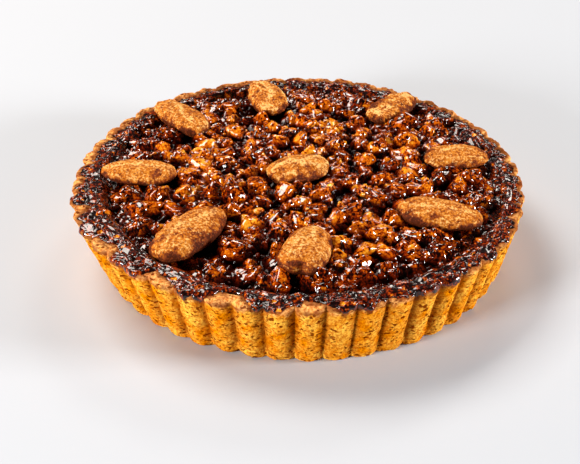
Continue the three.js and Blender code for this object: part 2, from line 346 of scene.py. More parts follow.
def ball_directions(splits):
    """Directions spread over a ball and the triangles between them: an icosahedron, each
    triangle split in four as often as splits says."""
    g = (1 + 5 ** 0.5) / 2
    points = unit(np.array([
        (-1, g, 0), (1, g, 0), (-1, -g, 0), (1, -g, 0), (0, -1, g), (0, 1, g),
        (0, -1, -g), (0, 1, -g), (g, 0, -1), (g, 0, 1), (-g, 0, -1), (-g, 0, 1)]))
    faces = np.array([
        (0, 11, 5), (0, 5, 1), (0, 1, 7), (0, 7, 10), (0, 10, 11), (1, 5, 9), (5, 11, 4),
        (11, 10, 2), (10, 7, 6), (7, 1, 8), (3, 9, 4), (3, 4, 2), (3, 2, 6), (3, 6, 8),
        (3, 8, 9), (4, 9, 5), (2, 4, 11), (6, 2, 10), (8, 6, 7), (9, 8, 1)])
    for _ in range(splits):
        edges = np.sort(faces[:, [0, 1, 1, 2, 2, 0]].reshape(-1, 2), axis=1)
        halved, which = np.unique(edges, axis=0, return_inverse=True)
        ab, bc, ca = (len(points) + which.reshape(-1, 3)).T
        a, b, c = faces.T
        points = np.concatenate([points, unit(points[halved].sum(axis=1))])
        quarters = [(a, ab, ca), (b, bc, ab), (c, ca, bc), (ab, bc, ca)]
        faces = np.concatenate([np.stack(corners, axis=-1) for corners in quarters])
    return points, faces


def turned(shapes, x_turn, y_turn, z_turn):
    """The shapes turned about X, then Y, then Z, each by angles of its own."""
    for axis, angle in enumerate((x_turn, y_turn, z_turn)):
        one, two = [i for i in range(3) if i != axis]
        if axis == 1:
            one, two = two, one
        c, s = np.cos(angle)[:, None], np.sin(angle)[:, None]
        moved = shapes.copy()
        moved[..., one] = c * shapes[..., one] - s * shapes[..., two]
        moved[..., two] = s * shapes[..., one] + c * shapes[..., two]
        shapes = moved
    return shapes


def joined(shapes, faces, **marks):
    """Many shapes with the same faces as one surface."""
    count, corners = shapes.shape[:2]
    starts = (np.arange(count) * corners)[:, None, None]
    return shapes.reshape(-1, 3), [(faces[None] + starts).reshape(-1, 3)], marks


# ---- Case ----

def across_flute(angle, case):
    """Place across a flute: 0 on its crest, -1 and 1 in the valleys beside it."""
    t = (angle - FLUTE_START) / (2 * np.pi) * case.flutes
    return 2 * (t - np.floor(t) - 0.5)


def flute_radius(angle, z, case):
    """Distance from the axis to the fluted outside: a straight draft from base to rim, less
    1 - cos(πx/2) of a depth that varies a little and less a crease x⁸ / 2, which fall to a sharp
    valley between flutes, plus the lean and the slumped bulge, which grow with the height."""
    across = across_flute(angle, case)
    depth = case.flute_depth * (1 + 0.1 * np.sin(7 * angle + 1) + 0.08 * np.sin(19 * angle))
    rise = z / case.height
    draft = within((case.base_radius, case.rim_radius), rise)
    slump = BULGE * np.exp(-(turn_between(angle, BULGE_ANGLE) / BULGE_SPREAD) ** 2)
    lean = LEAN * np.cos(angle - LEAN_ANGLE)
    flute = depth * (1 - np.cos(np.pi / 2 * across)) + 0.5 * across ** 8
    return draft - flute + (slump + lean) * rise


def rim_height(angle, case):
    """Height of the rim: higher at the front, with two small waves."""
    slope = 0.5 - 0.7 * np.sin(angle)
    return case.height + slope + 0.3 * np.sin(5 * angle + 1) + 0.2 * np.sin(11 * angle)


def cup_radius(z, case):
    """Distance from the axis to the inside of the case."""
    return within((case.base_radius - case.wall, case.rim_radius - case.wall), z / case.height)


def in_stretch(angle, at, half):
    """1 near a direction and 0 far from it, with a smooth step from 0.4 to 1.4 half widths."""
    return smooth(1.4 - abs(turn_between(angle, np.radians(at))) / np.radians(half))


def bareness(angle):
    """1 in the stretches of rim that the caramel leaves bare, 0 elsewhere."""
    return np.max([in_stretch(angle, at, half) for at, half, _ in BARE_PATCHES], axis=0)


def lip_radius(angle, case):
    """Outer edge of the caramel on the rim: close to the rim's edge in front, and drawn in at the
    back, on the left and in the bare stretches."""
    short = within(LIP_SHORT, smooth(0.5 + 0.9 * np.sin(angle)))
    short = short + LEFT_SHORT * smooth(1.6 - abs(turn_between(angle, LEFT_ANGLE)) / LEFT_SPREAD)
    for at, half, inside_edge in BARE_PATCHES:
        bare = np.maximum(short, inside_edge)
        short = within((short, bare), in_stretch(angle, at, half))
    return flute_radius(angle, case.height, case) - short


def lip_edge(angle, case, fine=1.0):
    """Outer edge of the caramel as a way along the rim's surface, 0 where the rounded edge starts:
    the lip's radius and what has run over, made ragged by a broad noise along the rim and by a
    share of two fine ones."""
    way = lip_radius(angle, case) - (flute_radius(angle, case.height, case) - EDGE_ROUND)
    for at, half, length in SPILLS:
        way = way + length * in_stretch(angle, at, half)
    along = round_axis(case.rim_radius, angle, 0)
    teeth = layered(along, (1.2, 2.8, 4), (1.2, 1.4, 5))
    return way + 0.7 * noise(along, 6, 3) + fine * teeth - 0.4


def on_rim(angle, way, lift, case):
    """Point of the rim's surface and its outward lift: the flat top inside 0, a quarter circle of
    the edge's radius beyond, and the wall further on."""
    top = flute_radius(angle, case.height, case) - EDGE_ROUND
    bend = np.clip(way / EDGE_ROUND, 0, np.pi / 2)
    down = np.maximum(way - EDGE_ROUND * np.pi / 2, 0)
    draft = (case.rim_radius - case.base_radius) / case.height
    radius = top + np.minimum(way, 0) + (EDGE_ROUND + lift) * np.sin(bend) - draft * down
    z = rim_height(angle, case) - EDGE_ROUND + (EDGE_ROUND + lift) * np.cos(bend) - down
    return round_axis(radius, angle, z)


def case_surface(case):
    """The case as rings: the underside, the rounded base edge, the fluted wall, the rounded rim,
    the flat of the rim and the cup. Crumb relief, flat pores, chipped feet of the flutes and
    coarse crumb where the rim is bare move the points along the normal, and at the back the
    rim's edge stands proud of the caramel as a bell curve across it. The marks say where the
    pastry is stained by caramel or toasted, and how deep a point lies in a valley, where the
    material paints shade."""
    columns = case.flutes * FLUTE_COLUMNS
    angle = (FLUTE_START + np.arange(columns) * 2 * np.pi / columns)[None, :]
    ones = np.ones((1, columns))
    rim, top = rim_height(angle, case), flute_radius(angle, case.height, case)
    base = flute_radius(angle, 0 * angle, case)
    cup = cup_radius(case.floor, case)

    foot_bend = np.linspace(0, np.pi / 2, FOOT_RINGS)[:, None]
    wall_z = within((EDGE_ROUND, rim - EDGE_ROUND), np.linspace(0, 1, WALL_RINGS)[1:-1, None])
    inner = cup_radius(case.height, case) - (top - EDGE_ROUND)
    over = np.concatenate([np.linspace(EDGE_ROUND * np.pi / 2, 0, EDGE_RINGS)[:, None] * ones,
                           np.linspace(0, 1, RIM_RINGS)[1:, None] * inner])
    inside = [*((cup_radius(height, case), height) for height in CUP_RINGS),
              *((share * cup, case.floor) for share in (1, 0.9, 0.45))]
    grid = np.concatenate([
        *(round_axis(share * (base - EDGE_ROUND), angle, 0) for share in (0.4, 0.685, 0.97)),
        round_axis(base - EDGE_ROUND * (1 - np.sin(foot_bend)), angle,
                   EDGE_ROUND * (1 - np.cos(foot_bend))),
        round_axis(flute_radius(angle, wall_z, case), angle, wall_z),
        on_rim(angle, over, 0, case),
        *(round_axis(radius, angle, height) for radius, height in inside),
    ])
    z = grid[..., 2]
    way = np.where(z < rim - EDGE_ROUND, EDGE_ROUND * (np.pi / 2 - 1) + rim - z, 0)
    first = len(grid) - len(inside) - len(over)
    way[first:first + len(over)] = over
    beyond = way - lip_edge(angle, case)

    outside = smooth(z / 1.5) * (np.hypot(grid[..., 0], grid[..., 1]) > case.rim_radius - 9)
    on_top = smooth((z - rim + 2.2) / 2)
    bare = on_top * smooth(beyond / 1.5 + 1)
    relief = layered(grid, (0.18, 6, 11), (0.16, 2.6, 12), (0.12, 1.3, 13)) - 0.22
    pores = 0.4 * smooth((noise(grid * (1, 1, 1.7), 2.0, 14) - 0.42) / 0.2)
    crumbs = 0.3 * (bubbles(grid, 3.4, 15) - 0.6 + 0.5 * bubbles(grid, 1.7, 16))
    knobs = 0.1 + layered(grid, (0.35, 3, 17), (0.3, 1.5, 21))
    lift = outside * (relief - pores * (1 - on_top) + bare * (crumbs + knobs)
                      - 0.5 * (on_top - bare))
    chips = 1.1 * smooth((noise(grid * (1, 1, 0.6), 7, 18) - 0.25) / 0.5) * smooth(1 - z / 3)
    shaped = grid + normals(grid) * (lift - chips * (z > 0.01) * (z < 4))[..., None]
    proud = smooth(0.2 + 1.2 * np.sin(angle + 0.4)) * np.exp(-((way - 0.3) / 1.6) ** 2) * on_top
    shaped[..., 2] = np.maximum(shaped[..., 2] + 0.9 * proud, 0)

    ragged = layered(shaped, (0.5, 2.4, 19), (0.4, 1.2, 20))
    soaked = 1 - smooth(beyond / 2.8 + 1.2 * ragged - 0.2)
    fringe = bareness(angle) * smooth(1.2 - abs(way - 2.2) / 1.6 + ragged) * smooth((way + 1) / 2)
    blotches = on_top * smooth((layered(shaped, (1, 3.2, 22), (0.8, 1.5, 23)) - 0.15) / 0.4)
    # Painted shade: the valley mark darkens the wall towards each valley between flutes, and not
    # on the rim's top.
    valley = abs(across_flute(angle, case)) ** 3 * (1 - on_top) * (1 + 0.4 * ragged)
    return pole_surface((0, 0, 0), shaped, (0, 0, case.floor),
                        stain=np.max([soaked, fringe, 0.6 * blotches], axis=0),
                        toast=smooth(1.0 - (rim - z) / 4 + 0.9 * ragged) * outside,
                        valley=valley * outside)


# ---- Caramel ----

def heap_height(radius, case):
    """Height of bare caramel: level in the middle, sinking by a smooth step to the trough."""
    down = smooth((radius / TROUGH_RADIUS - HEAP_SHOULDER) / (1 - HEAP_SHOULDER))
    return case.height - HEAP_BELOW_RIM - TROUGH_DEPTH * down


def map_polar():
    """Distance from the axis and direction of each point of a map."""
    x = np.arange(-MAP_HALF, MAP_HALF + MAP_STEP, MAP_STEP)
    return np.hypot(x[None, :], x[:, None]), np.arctan2(x[:, None], x[None, :])


def map_index(x):
    """Row or column of a map for a place in millimetres."""
    return np.clip(np.rint((x + MAP_HALF) / MAP_STEP).astype(int), 0, int(2 * MAP_HALF / MAP_STEP))


def map_window(x, y, reach):
    """The part of a map that lies round a place, and how far its points are from the place."""
    rows = slice(map_index(y - reach), map_index(y + reach) + 1)
    columns = slice(map_index(x - reach), map_index(x + reach) + 1)
    dy = (np.arange(rows.start, rows.stop) * MAP_STEP - MAP_HALF - y)[:, None]
    dx = (np.arange(columns.start, columns.stop) * MAP_STEP - MAP_HALF - x)[None, :]
    return (rows, columns), dx, dy


def map_value(grid_map, x, y):
    """Values of a map between its points: blended along both axes."""
    column, row = (np.clip((v + MAP_HALF) / MAP_STEP, 0, len(grid_map) - 1.001) for v in (x, y))
    i, j = row.astype(int), column.astype(int)
    u, v = row - i, column - j
    low = within((grid_map[i, j], grid_map[i, j + 1]), v)
    return within((low, within((grid_map[i + 1, j], grid_map[i + 1, j + 1]), v)), u)


def raise_map(top, centres, halves, turns):
    """Raises a map to the tops of ellipsoids: z + h √(1 - u² - v²), with u and v the shares of
    the half axes."""
    for (x, y, z), (a, b, h), turn in zip(centres, halves, turns):
        window, dx, dy = map_window(x, y, a)
        along, across = along_across(dx, dy, turn)
        bulge = np.sqrt(np.clip(1 - (along / a) ** 2 - (across / b) ** 2, 0, 1))
        top[window] = np.maximum(top[window], np.where(bulge > 0, z + h * bulge, 0))


def chip_planes(halves, rng):
    """The planes that bound chips from above, each as slopes along x and y and a height over the
    chip's middle: two roof planes tilted a little, and steep sides that stand round it where its
    ellipse ends, √(a² cos² + b² sin²) from the middle, or nearer."""
    count = len(halves)
    yaw = rng.uniform(-np.pi, np.pi, (count, 1))
    stray = rng.uniform(-0.35, 0.35, (count, CHIP_SIDES))
    spread = 2 * np.pi / CHIP_SIDES * (np.arange(CHIP_SIDES) + stray)
    reach = np.hypot(halves[:, :1] * np.cos(spread), halves[:, 1:] * np.sin(spread))
    reach = reach * rng.uniform(0.6, 1.0, (count, CHIP_SIDES))
    steep = rng.uniform(0.9, 2.8, (count, CHIP_SIDES))
    side = np.stack([-steep * np.cos(spread + yaw), -steep * np.sin(spread + yaw),
                     steep * reach], axis=-1)
    slopes = rng.normal(0, CHIP_TILT, (count, 2, 2))
    roof = np.concatenate([slopes, np.zeros((count, 2, 1))], axis=-1)
    return np.concatenate([roof, side], axis=1)


def raise_chips(top, tone, places, planes, tones, reaches):
    """Raises a map to chips, each the soft minimum -log(Σ exp(-k z)) / k of its planes, and notes
    the tone of the plane that shows."""
    for (x, y, z), chip, own, reach in zip(places, planes, tones, reaches):
        window, dx, dy = map_window(x, y, reach)
        slope_x, slope_y, middle = chip.T[:, :, None, None]
        over = slope_x * dx + slope_y * dy + middle
        lowest = over.min(axis=0)
        rounding = np.log(np.exp(CHIP_SHARP * (lowest - over)).sum(axis=0)) / CHIP_SHARP
        height = z + lowest - rounding
        higher = height > top[window]
        top[window] = np.where(higher, height, top[window])
        tone[window] = np.where(higher, own[over.argmin(axis=0)], tone[window])


def strew_chips(top, tone, level, chips, rng):
    """Strews kinds of chips over rings of a map, as evenly as the seeds of a sunflower, their tops
    some depth under the level. A draw to the power 1.3 makes small ones more frequent."""
    for count, (near, far), lengths, depths, tones in chips:
        k = np.arange(count)
        radius = np.sqrt(within((near ** 2, far ** 2), (k + 0.5) / count))
        angle = k * GOLDEN_ANGLE
        stray = 0.35 * np.sqrt((far ** 2 - near ** 2) / count)
        x = radius * np.cos(angle) + rng.normal(0, stray, count)
        y = radius * np.sin(angle) + rng.normal(0, stray, count)
        longest = within(lengths, rng.uniform(0, 1, count) ** 1.3) / 2
        halves = np.stack([longest, longest * rng.uniform(0.45, 0.9, count)], axis=-1)
        order = rng.permutation(count)
        z = level[map_index(y), map_index(x)] - within(depths, rng.uniform(0, 1, count))
        own = within(tones, rng.uniform(0, 1, (count, 1)))
        planes = chip_planes(halves, rng)
        shown = own + rng.uniform(-0.25, 0.3, planes.shape[:2])
        places = np.stack([x, y, z], axis=-1)
        raise_chips(top, tone, places[order], planes[order], shown[order], longest[order] + 3)


def blurred(top, steps):
    """A map with each point the mean of its neighbours, several times over."""
    for _ in range(steps):
        top = sum(np.roll(top, s, axis) for s in (-1, 0, 1) for axis in (0, 1)) / 6
    return top


def filmed(top, tone, sunk, film_tone, fade, sharpness):
    """A map and its tones with film run smooth between the chips. The film is the blurred map
    less the depth it has sunk, and near it the tones fade to its own."""
    film = blurred(top, FILM_BLUR) - sunk
    tone = within((film_tone, tone), smooth((top - film) / fade))
    return soft_maximum(top, film, sharpness), tone


def browned(radius):
    """Share of their tone that nuts keep: all in the middle, EDGE_TONE by the rim."""
    return within((1, EDGE_TONE), smooth((radius - BROWN_FROM) / BROWN_OVER))


def bare_map(case):
    """Heights of bare caramel on a map: the heap, the slope up to the rim and the lip."""
    radius, angle = map_polar()
    lip = rim_height(angle, case) + LIP_THICKNESS
    rise = smooth((radius - TROUGH_RADIUS + 1) / 8)
    return within((heap_height(radius, case), lip), rise)


def heap_map(case, nuts, rng):
    """Heights and tones of the heap. Its level is the bare caramel raised to the large nuts,
    partly blurred, with a crown from 70 to 90 mm from the axis that is lower in front. Chips are
    strewn round the level, and film runs between them."""
    centres, halves, turns = nuts
    bare = bare_map(case)
    level = bare.copy()
    raise_map(level, centres, halves * 0.92, turns[:, 2])
    level = within((level, blurred(level, LEVEL_BLUR)), 0.6)
    radius, angle = map_polar()
    in_front = smooth(1.3 - abs(turn_between(angle, FRONT_ANGLE)) / FRONT_SPREAD)
    crown = smooth((radius - 70) / 10) * smooth((90 - radius) / 4) * within(CROWN, in_front)
    top, tone = bare - 2.5, np.full_like(bare, 0.1)
    strew_chips(top, tone, level + crown, HEAP_CHIPS, rng)
    return filmed(top, tone * browned(radius), sunk=0.75, film_tone=0.12, fade=0.8, sharpness=3)


def bed_surface(case, top, tone):
    """The heap inside the trough, read from its map at places shifted by noise so that no edge
    runs straight, with strands and fine wrinkles, over a body that fills the case to its floor."""
    angle = (np.arange(HEAP_COLUMNS) * 2 * np.pi / HEAP_COLUMNS)[None, :]
    radius = np.linspace(TROUGH_RADIUS, 1.2, HEAP_RINGS)[:, None]
    flat = round_axis(radius, angle, 0)
    x = flat[..., 0] + 0.5 * noise(flat, 2.6, 31)
    y = flat[..., 1] + 0.5 * noise(flat, 2.6, 32)
    strand = np.maximum(strands(flat, 6, 33), 0.7 * strands(flat, 3.6, 36))
    wrinkles = layered(flat, (0.08, 1.3, 34), (0.25, 2.8, 35))
    z = map_value(top, x, y) + 0.55 * strand + wrinkles
    upper = clear_of_pecans(np.stack([flat[..., 0], flat[..., 1], z], axis=-1))

    low = case.floor + GAP
    sides = [(cup_radius(low, case) - 2, low), (cup_radius(low + 2, case) - GAP, low + 2),
             (TROUGH_RADIUS, HEAP_SIDE)]
    grid = np.concatenate([*(round_axis(r, angle, height) for r, height in sides), upper])
    # The rise mark darkens the tone and dims the coat low in the heap: partly thicker caramel in
    # the gaps, partly painted shade.
    return pole_surface((0, 0, low), grid, (0, 0, upper[-1, :, 2].mean()),
                        tone=map_value(tone, x, y) * (1 - 0.5 * strand),
                        rise=smooth((upper[..., 2] - heap_height(radius, case) + 0.6) / 4))


def lip_map(rng):
    """Relief and tones of the caramel on the rim: large dark chips, and tiny ones that are
    brighter."""
    radius, _ = map_polar()
    top, tone = np.full_like(radius, -0.9), np.full_like(radius, 0.1)
    strew_chips(top, tone, np.zeros_like(radius), LIP_CHIPS, rng)
    return filmed(top, tone, sunk=0.2, film_tone=0.05, fade=0.4, sharpness=5)


def lip_surface(case, relief, tone):
    """The caramel from the trough up the wall and over the rim: an S-shaped slope, then the rim's
    own surface lifted by the lip's thickness. The lift falls to a third towards the broad line of
    the edge and ends at the ragged edge as √(1 - (1 - x)³). Folds and strands, drawn out along the
    radius, and the chips of the relief map stand on it."""
    angle = (np.arange(LIP_COLUMNS) * 2 * np.pi / LIP_COLUMNS)[None, :]
    edge = lip_edge(angle, case)
    start, inner = case.rim_radius - case.wall - 1.5, TROUGH_RADIUS - 2
    thick = LIP_THICKNESS + 0.35 * noise(round_axis(case.rim_radius, angle, 0), 9, 41)

    radius = np.linspace(inner, start, SLOPE_RINGS)[:-1, None]
    rise = smooth((radius - inner - 0.5) / (start - inner - 0.5))
    slope_z = within((heap_height(inner, case), rim_height(angle, case) + thick), rise)

    first = start - (flute_radius(angle, case.height, case) - EDGE_ROUND)
    share = 1 - (1 - np.linspace(0, 1, LIP_RINGS)[:, None]) ** 1.3  # closer rings at the edge
    way = within((first, edge), share)
    near = np.clip((edge - way) / 2.2, 0, 1)
    broad = np.clip((lip_edge(angle, case, fine=0.0) - way) / 4.5, 0, 1)
    lift = thick * within((0.3, 1), broad) * np.sqrt(1 - (1 - near) ** 3)
    upper = np.concatenate([round_axis(radius, angle, slope_z), on_rim(angle, way, lift, case)])

    x, y = upper[..., 0] + 0.7 * noise(upper, 4, 44), upper[..., 1] + 0.7 * noise(upper, 4, 45)
    from_rim = np.hypot(upper[..., 0], upper[..., 1]) - case.rim_radius
    flow = round_axis(0.6 * case.rim_radius + 1.5 * from_rim, angle, upper[..., 2])
    strand = np.maximum(strands(flow, 7, 47), 0.7 * strands(flow, 4, 48))
    folds = layered(flow, (0.6, 6, 42), (0.25, 2.6, 43)) + 0.6 * strand
    lumps = map_value(relief, x, y) + 0.5
    calm = np.concatenate([np.ones_like(slope_z), smooth(near)])
    upper = upper + normals(upper) * (calm * (folds + lumps))[..., None]
    shown = map_value(tone, x, y) * (1 - 0.6 * strand)

    under = [on_rim(angle, edge - 0.2, -0.5, case), on_rim(angle, first, -0.6, case),
             round_axis(inner, angle, LIP_FOOT)]
    # Rings run outwards over the top here, so the order is turned round to face outwards.
    grid = np.concatenate([upper, *under])[::-1]
    closing = ring_faces(2, LIP_COLUMNS)
    closing = np.where(closing < LIP_COLUMNS, closing + (len(grid) - 1) * LIP_COLUMNS,
                       closing - LIP_COLUMNS)
    hidden = np.zeros(len(under) * LIP_COLUMNS)
    marks = {"tone": np.concatenate([hidden, shown[::-1].ravel()]),
             "rise": np.ones(len(hidden) + shown.size)}
    return grid.reshape(-1, 3), [ring_faces(len(grid), LIP_COLUMNS), closing], marks


# ---- Nuts ----

def off_pecan(x, y, pecan, grow):
    """How far off the middle of a candied pecan places lie, squared, with 1 on its outline."""
    along, across = along_across(x - pecan.x, y - pecan.y, np.radians(pecan.direction))
    return (along / (pecan.length / 2 + grow)) ** 2 + (across / (pecan.width / 2 + grow)) ** 2


def under_pecan(x, y, grow=0.0):
    """Whether places lie in the outline ellipse of a candied pecan."""
    return np.any([off_pecan(x, y, pecan, grow) < 1 for pecan in PECANS], axis=0)


def clear_of_pecans(points):
    """The points that would lie inside a candied pecan, pressed down to its underside: the
    height of its middle less h √(1 - r²), with r 1 on its outline."""
    for pecan in PECANS:
        off = off_pecan(points[..., 0], points[..., 1], pecan, 0.2)
        half = PECAN_THICKNESS * pecan.width * np.sqrt(np.clip(1 - off, 0, 1))
        dz = points[..., 2] - PECAN_Z
        inside = (dz < half) & (dz > -PECAN_UNDERSIDE * half)
        low = np.where(inside, -PECAN_UNDERSIDE * half, dz)
        points = np.stack([points[..., 0], points[..., 1], PECAN_Z + low], axis=-1)
    return points


def knife_cut(directions, count, rng):
    """Chopped shapes: a box with soft edges, (|x|⁶ + |y|⁶ + |z|⁶)^(-1/6) along a direction, cut by
    flat strokes. The way to a stroke is its depth over d·n, and the ways are blended as a soft
    minimum. The second result says where a cut face shows."""
    box = (abs(directions) ** 6).sum(axis=-1) ** (-1 / 6)
    strokes = unit(rng.normal(size=(count, KNIFE_STROKES, 3)))
    depth = rng.uniform(0.45, 0.95, (count, KNIFE_STROKES, 1))
    facing = np.maximum(np.einsum("vc,nsc->nsv", directions, strokes), 0.05)
    ways = np.concatenate([depth / facing, np.broadcast_to(box, (count, 1, len(box)))], axis=1)
    radius = (ways ** -22).sum(axis=1) ** (-1 / 22)
    cut = smooth((1.02 - ways[:, :-1].min(axis=1)) / 0.2)
    return radius / radius.mean(axis=1, keepdims=True), cut


def large_nuts(case):
    """Places, half axes and turns of the large nuts: a sunflower spread in which each nut has
    strayed a little and lies in its own way, none under a candied pecan."""
    k = np.arange(NUTS)
    radius = NUT_FIELD * np.sqrt((k + 0.5) / NUTS) + NUT_SCATTER * (draw(k, 1) - 0.5)
    stray = NUT_SCATTER * (draw(k, 2) - 0.5) / np.maximum(radius, NUT_LENGTH[0])
    angle = k * GOLDEN_ANGLE + stray
    x, y = radius * np.cos(angle), radius * np.sin(angle)
    length = within(NUT_LENGTH, draw(k, 3))
    width = length * within(NUT_SLENDER, draw(k, 4))
    height = within(NUT_HEIGHT, draw(k, 5))
    z = heap_height(radius, case) + within(NUT_SINK, draw(k, 10))
    tilt_x, tilt_y = NUT_TILT * (draw(k, 7) - 0.5), NUT_TILT * (draw(k, 8) - 0.5)
    turns = np.stack([tilt_x, tilt_y, 2 * np.pi * draw(k, 9)], axis=-1)
    shown = ~under_pecan(x, y)
    centres, halves = np.stack([x, y, z], axis=-1), np.stack([length, width, height], axis=-1) / 2
    return centres[shown], halves[shown], turns[shown], draw(k, 11)[shown]


def placed(shape, centres, halves, turns):
    """Shapes of radius about 1 stretched to their half axes, turned and set down."""
    return turned(shape * halves[:, None, :], *turns.T) + centres[:, None, :]


def clotted(centres, halves, turns, rng):
    """Places, half axes and turns of the pieces that clot together in each large nut: their
    middles lie in random directions, mostly upwards, a share of the half axes away from its
    own, and those under a candied pecan are left out."""
    away = rng.normal(size=(len(centres), CLOT_PIECES, 3))
    away[..., 2] = abs(away[..., 2]) - 0.3
    away = unit(away) * rng.uniform(0.4, 0.68, (len(centres), CLOT_PIECES, 1))
    middles = placed(away, centres, halves, turns).reshape(-1, 3)
    count = len(middles)
    longest = within(CLOT_LENGTH, rng.uniform(0, 1, count)) / 2
    own_halves = longest[:, None] * np.stack([
        np.ones(count), rng.uniform(0.62, 0.95, count), rng.uniform(0.55, 0.85, count)], axis=-1)
    own_turns = rng.uniform(-1, 1, (count, 3)) * (0.9, 0.9, np.pi)
    shown = ~under_pecan(middles[:, 0], middles[:, 1], -0.5)
    return middles[shown], own_halves[shown], own_turns[shown]


def strewn_bits(case, top, count, lengths, reach, rng):
    """Places, half axes and turns of small bits: strewn evenly from near to far, kept off the
    candied pecans, the bare stretches of the rim and the highest nuts, each one sunk a little into
    what lies under it. Far more places are drawn than are used."""
    drawn = 40 * count
    radius = within(reach, np.sqrt(rng.uniform(0, 1, drawn)))
    angle = rng.uniform(-np.pi, np.pi, drawn)
    x, y = radius * np.cos(angle), radius * np.sin(angle)
    tops = top[map_index(y), map_index(x)]
    on_bare_rim = (radius > BARE_FROM) & (bareness(angle) >= 0.5)
    kept = (radius < lip_radius(angle, case) - 1.5) & ~on_bare_rim & ~under_pecan(x, y, 0.5)
    chosen = np.flatnonzero(kept & (tops - heap_height(radius, case) < BITS_RISE))[:count]
    count = len(chosen)
    longest = within(lengths, rng.uniform(0, 1, count) ** 1.4)
    halves = np.stack([longest, longest * rng.uniform(0.6, 0.95, count),
                       longest * rng.uniform(0.5, 0.8, count)], axis=-1) / 2
    z = tops[chosen] + halves[:, 2] * rng.uniform(-0.5, 0.4, count)
    turns = rng.uniform(-1, 1, (count, 3)) * (0.7, 0.7, np.pi)
    return np.stack([x[chosen], y[chosen], z], axis=-1), halves, turns


def cut_pieces(name, material, case, spots, rng, splits, roughness, tones):
    """Makes chopped pieces of one kind at spots, which are centres, half axes and turns. Their
    tone mixes a number of their own with how far a cut face shows. Towards the foot of each piece
    and low over the bare caramel their tone darkens, partly as thicker caramel and partly as
    painted shade, and their coat dims as painted shade."""
    centres, halves, turns = spots
    ball, faces = ball_directions(splits)
    count = len(centres)
    radius, cut = knife_cut(ball, count, rng)
    shift = rng.uniform(0, 100, (count, 1, 3))
    rough = roughness * layered(ball + shift, (1, 0.5, 21), (0.6, 0.25, 22))
    points = placed(ball * (radius * 1.04 + rough)[..., None], centres, halves, turns)
    foot = (points[..., 2] - centres[:, None, 2]) / halves[:, None, 2]
    bare = heap_height(np.hypot(points[..., 0], points[..., 1]), case)
    # Painted shade, with some thicker caramel: the rise mark is low at each piece's foot and low
    # over the bare caramel, where the tone darkens and the coat dims.
    rise = smooth((points[..., 2] - bare - 0.2) / 4) * within((0.35, 1), smooth(foot + 0.6))
    tone = within(tones, rng.uniform(0, 1, (count, 1))) + 0.3 * cut
    tone = tone * browned(np.hypot(centres[:, 0], centres[:, 1]))[:, None]
    add_piece(name, joined(clear_of_pecans(points), faces, tone=tone, rise=rise), material,
              ["filling"])


# ---- Candied pecans ----

def pecan_surface(index):
    """Half a pecan: rings along X of radius (1 - t²)^fullness (1 - taper t), flatter underneath,
    with a wandering groove along the back, broad swellings, wrinkles along it and a coat of sugar
    grains. One has a notch in its front end. It is tilted, turned and set down where the solid
    lies. The marks say where sugar caked on the wrinkles and the groove, and where it is darker
    towards its edges: browned at the ends and in patches, and painted shade on the sides and
    underside."""
    pecan = PECANS[index]
    along = -np.cos(np.pi * np.arange(1, PECAN_ROWS) / PECAN_ROWS)[:, None]
    angle = (np.pi / 2 + np.arange(PECAN_COLUMNS) * 2 * np.pi / PECAN_COLUMNS)[None, :]
    fullness = (1 - along ** 2) ** (PECAN_FULLNESS - BLUNT[index]) * (1 - PECAN_TAPER * along)
    wander = 0.16 * np.sin(2.2 * along + index) + 0.12 * np.sin(5 * along + 2 * index)
    off_back = turn_between(angle, np.pi / 2 + wander)
    groove = 1 - 0.09 * np.exp(-(off_back / 0.2) ** 2) * smooth(1.2 - along ** 2)
    up = np.sin(angle) * np.where(np.sin(angle) > 0, groove, PECAN_UNDERSIDE)
    grid = np.stack([
        pecan.length / 2 * along + 0 * angle,
        pecan.width / 2 * fullness * np.cos(angle),
        PECAN_THICKNESS * pecan.width * fullness * up,
    ], axis=-1)

    local = grid + index * 50.0
    swell = 0.4 * noise(local, 10, 51) + 0.4 * noise(local * (0.6, 1, 1), 4.5, 52)
    grains = 0.14 * (bubbles(local, 1.4, 53) - 0.5) + 0.12 * noise(local, 1.9, 54)
    ridges = (0.6 * strands(local * (0.6, 1, 1), 5.5, 61)
              + 0.4 * strands(local * (0.5, 1, 1), 3, 62))
    wrinkles = CRUMPLED[index] * (0.55 * ridges - 0.2) + 0.2 * noise(local * (0.4, 1, 1), 2.0, 55)
    lift = smooth(fullness * 2.5) * (swell + grains + wrinkles) - 0.35
    grid = grid + normals(grid) * lift[..., None]
    if index == NOTCHED:
        dent = np.exp(-((along + 1) / 0.3) ** 2 - ((grid[..., 1] + 2) / 2.2) ** 2)
        grid[..., 0] += 2.0 * dent

    back = np.exp(-(off_back / 0.12) ** 2) * smooth(1.3 - along ** 2)
    # Painted shade, with the browning of the ends: limb is 0 on top and 1 at the sides, underside
    # and ends.
    limb = 1 - np.sin(angle) * np.sqrt(1 - along ** 2)
    patches = layered(local, (0.6, 7, 58), (0.35, 2.6, 59))
    points, faces, marks = pole_surface(
        grid[0].mean(axis=0) - (0.05, 0, 0), grid, grid[-1].mean(axis=0) + (0.05, 0, 0),
        streak=CRUMPLED[index] * (ridges - 0.3) + 0.7 * back,
        brown=smooth((limb - 0.45 + ROASTED[index] + patches) / 0.9))
    turns = np.radians([[pecan.tilt], [0], [pecan.direction]])
    return turned(points[None], *turns)[0] + (pecan.x, pecan.y, PECAN_Z), faces, marks


# ---- Materials ----

